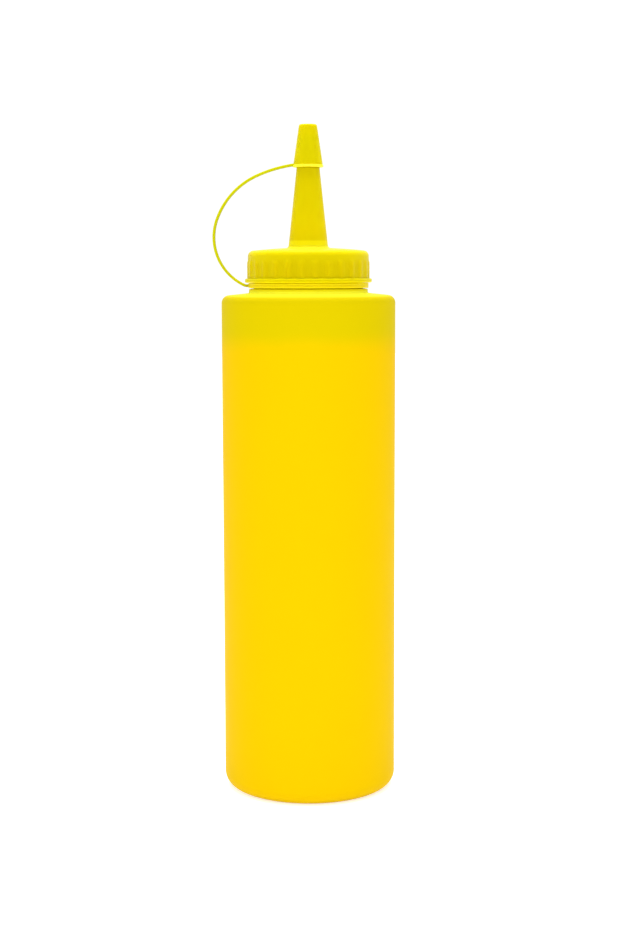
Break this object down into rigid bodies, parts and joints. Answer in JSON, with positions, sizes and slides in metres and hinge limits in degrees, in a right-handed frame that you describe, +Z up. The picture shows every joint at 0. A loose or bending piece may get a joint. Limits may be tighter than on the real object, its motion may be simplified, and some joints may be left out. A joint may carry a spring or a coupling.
{
  "type": "squeeze bottle",
  "caption": "Cylindrical sauce squeeze bottle with a ribbed screw cap, a conical nozzle and a tip cap on a strap.",
  "frame": {"origin": "centre of the flat base, on the bottle's axis, on the surface that it stands on", "axes": "+Z up along the bottle's axis; -X towards the strap's loop; the picture looks along +Y"},
  "size_m": [0.0578, 0.055, 0.2115],
  "materials": {
    "bottle_plastic": "translucent soft plastic, smooth satin",
    "cap_plastic": "soft moulded plastic, satin",
    "tether_plastic": "soft moulded plastic, satin",
    "sauce": "thick smooth sauce"
  },
  "bodies": {
    "root": {"bottle": "bottle_plastic", "cap": "cap_plastic", "tether": "tether_plastic", "sauce": "sauce"}
  },
  "joints": []
}
